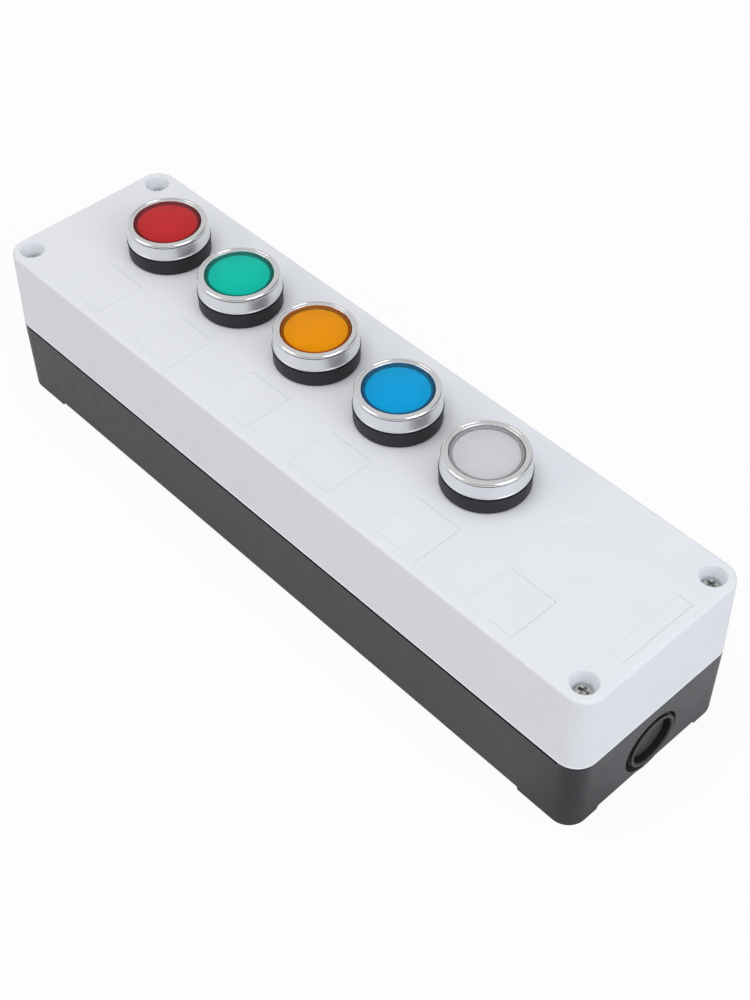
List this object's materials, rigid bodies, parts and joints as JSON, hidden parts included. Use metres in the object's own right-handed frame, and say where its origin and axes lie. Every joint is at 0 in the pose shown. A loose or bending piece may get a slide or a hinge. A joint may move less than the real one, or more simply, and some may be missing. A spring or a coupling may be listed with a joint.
{
  "type": "pushbutton control station",
  "caption": "Moulded two-part control station box with a row of illuminated spring-return push-buttons, a spare station, label recesses and a plugged cable entry.",
  "frame": {"origin": "middle of the footprint, at the soles of the four corner feet", "axes": "+X along the box towards the plugged cable entry, +Y from the label side to the button side, +Z out of the button panel"},
  "size_m": [0.2786, 0.072, 0.0749],
  "materials": {
    "base_plastic": "dark grey moulded ABS, fine satin grain",
    "cover_plastic": "pale grey-white moulded ABS, fine satin grain",
    "seal_rubber": "foam or nitrile rubber, matt black",
    "plug_rubber": "moulded rubber, matt black",
    "screw_steel": "bright zinc plate",
    "brass": "turned or stamped brass",
    "spring_steel": "drawn spring wire",
    "bezel_silver": "satin silver plate with a brighter crown",
    "black_plastic": "black moulded nylon, fine grain",
    "block_plastic": "dark grey moulded nylon",
    "actuator_plastic": "white acetal",
    "diffuser_white": "milky translucent diffuser",
    "lens_red": "transparent red, polished",
    "lens_green": "transparent green, polished",
    "lens_orange": "transparent amber, polished",
    "lens_blue": "transparent blue, polished",
    "lens_white": "clear, polished"
  },
  "bodies": {
    "root": {"base_box": "base_plastic", "cover": "cover_plastic", "cover_seal": "seal_rubber", "cover_screws": "screw_steel", "screw_inserts": "brass", "cable_entry_plug": "plug_rubber", "head_gaskets": "seal_rubber", "collar_screws": "screw_steel", "terminal_strips": "brass", "terminal_screws": "screw_steel", "red_return_spring": "spring_steel", "red_bezel": "bezel_silver", "red_head_body": "black_plastic", "red_locking_collar": "black_plastic", "red_lamp_block": "block_plastic", "red_contact_block": "block_plastic", "green_return_spring": "spring_steel", "green_bezel": "bezel_silver", "green_head_body": "black_plastic", "green_locking_collar": "black_plastic", "green_lamp_block": "block_plastic", "green_contact_block": "block_plastic", "orange_return_spring": "spring_steel", "orange_bezel": "bezel_silver", "orange_head_body": "black_plastic", "orange_locking_collar": "black_plastic", "orange_lamp_block": "block_plastic", "orange_contact_block": "block_plastic", "blue_return_spring": "spring_steel", "blue_bezel": "bezel_silver", "blue_head_body": "black_plastic", "blue_locking_collar": "black_plastic", "blue_lamp_block": "block_plastic", "blue_contact_block": "block_plastic", "white_return_spring": "spring_steel", "white_bezel": "bezel_silver", "white_head_body": "black_plastic", "white_locking_collar": "black_plastic", "white_lamp_block": "block_plastic", "white_contact_block": "block_plastic"},
    "red_button": {"red_lens": "lens_red", "red_diffuser": "diffuser_white", "red_plunger": "black_plastic", "red_contact_actuator": "actuator_plastic"},
    "green_button": {"green_lens": "lens_green", "green_diffuser": "diffuser_white", "green_plunger": "black_plastic", "green_contact_actuator": "actuator_plastic"},
    "orange_button": {"orange_lens": "lens_orange", "orange_diffuser": "diffuser_white", "orange_plunger": "black_plastic", "orange_contact_actuator": "actuator_plastic"},
    "blue_button": {"blue_lens": "lens_blue", "blue_diffuser": "diffuser_white", "blue_plunger": "black_plastic", "blue_contact_actuator": "actuator_plastic"},
    "white_button": {"white_lens": "lens_white", "white_diffuser": "diffuser_white", "white_plunger": "black_plastic", "white_contact_actuator": "actuator_plastic"}
  },
  "joints": [
    {"name": "red_press", "type": "slide", "parent": "root", "child": "red_button", "axis": [0, 0, -1], "range_m": [0, 0.0043], "stiffness_N_per_m": 400, "springref_m": -0.004, "deforming": ["red_return_spring"]},
    {"name": "green_press", "type": "slide", "parent": "root", "child": "green_button", "axis": [0, 0, -1], "range_m": [0, 0.0043], "stiffness_N_per_m": 400, "springref_m": -0.004, "deforming": ["green_return_spring"]},
    {"name": "orange_press", "type": "slide", "parent": "root", "child": "orange_button", "axis": [0, 0, -1], "range_m": [0, 0.0043], "stiffness_N_per_m": 400, "springref_m": -0.004, "deforming": ["orange_return_spring"]},
    {"name": "blue_press", "type": "slide", "parent": "root", "child": "blue_button", "axis": [0, 0, -1], "range_m": [0, 0.0043], "stiffness_N_per_m": 400, "springref_m": -0.004, "deforming": ["blue_return_spring"]},
    {"name": "white_press", "type": "slide", "parent": "root", "child": "white_button", "axis": [0, 0, -1], "range_m": [0, 0.0043], "stiffness_N_per_m": 400, "springref_m": -0.004, "deforming": ["white_return_spring"]}
  ]
}
